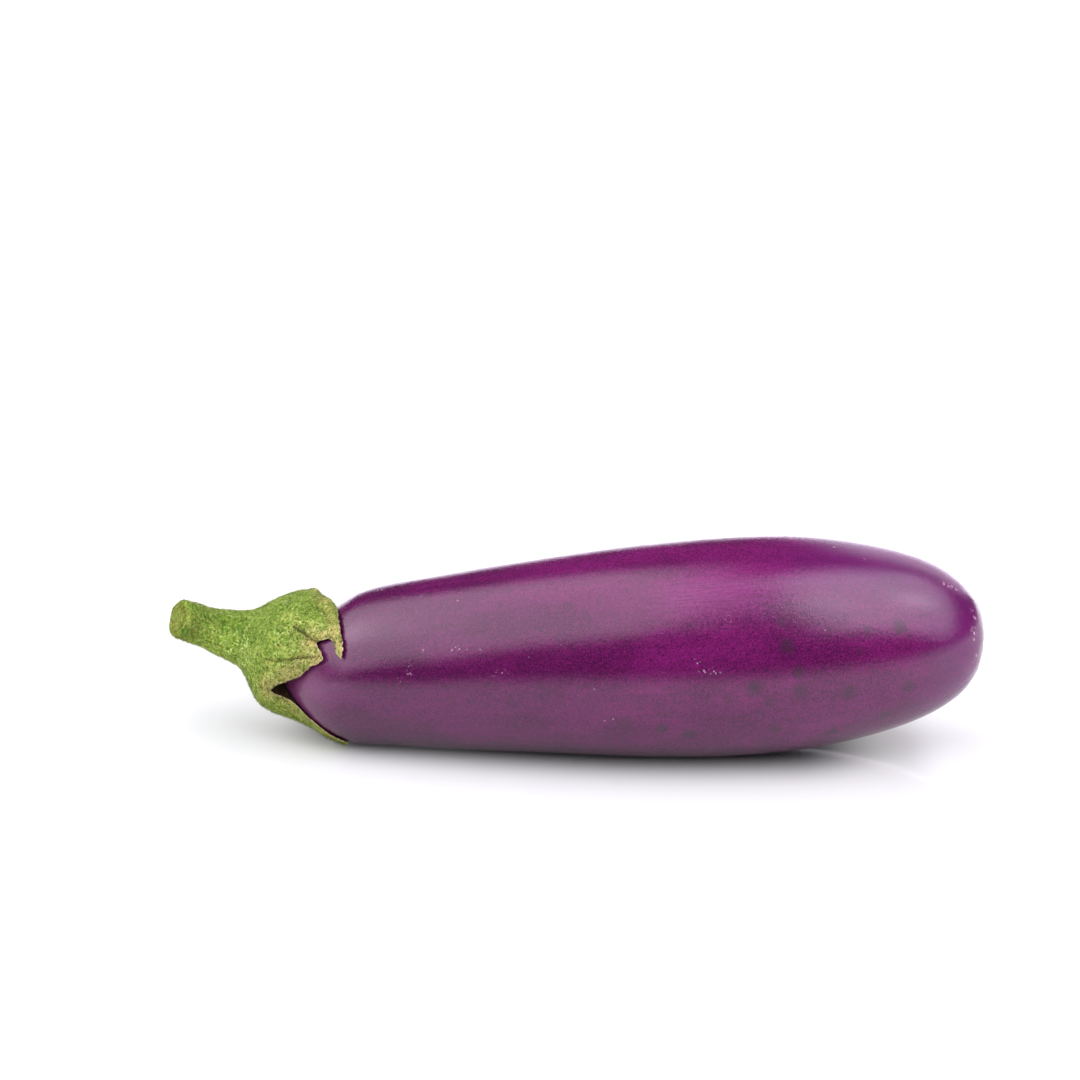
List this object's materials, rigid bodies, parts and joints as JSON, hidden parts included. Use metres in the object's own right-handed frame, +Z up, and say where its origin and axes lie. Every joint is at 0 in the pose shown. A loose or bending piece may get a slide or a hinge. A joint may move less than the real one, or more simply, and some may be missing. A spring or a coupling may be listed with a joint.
{
  "type": "long eggplant",
  "caption": "Long glossy purple eggplant lying on its side, slightly bowed, with a lobed green calyx over its shoulder and a short cut stem.",
  "frame": {"origin": "middle of the bounding box's footprint, on the surface the eggplant lies on", "axes": "+X runs from the cut stem towards the blossom end, +Z is up, and -Y is the side that the bow bulges towards"},
  "size_m": [0.2068, 0.0562, 0.0558],
  "materials": {
    "skin": "smooth glossy waxy purple skin",
    "calyx": "matt felted yellow-green, with fine hairs",
    "stem": "matt felted green with brown flecks and a tan cut end"
  },
  "bodies": {
    "root": {"fruit": "skin", "calyx": "calyx", "stem": "stem"}
  },
  "joints": []
}
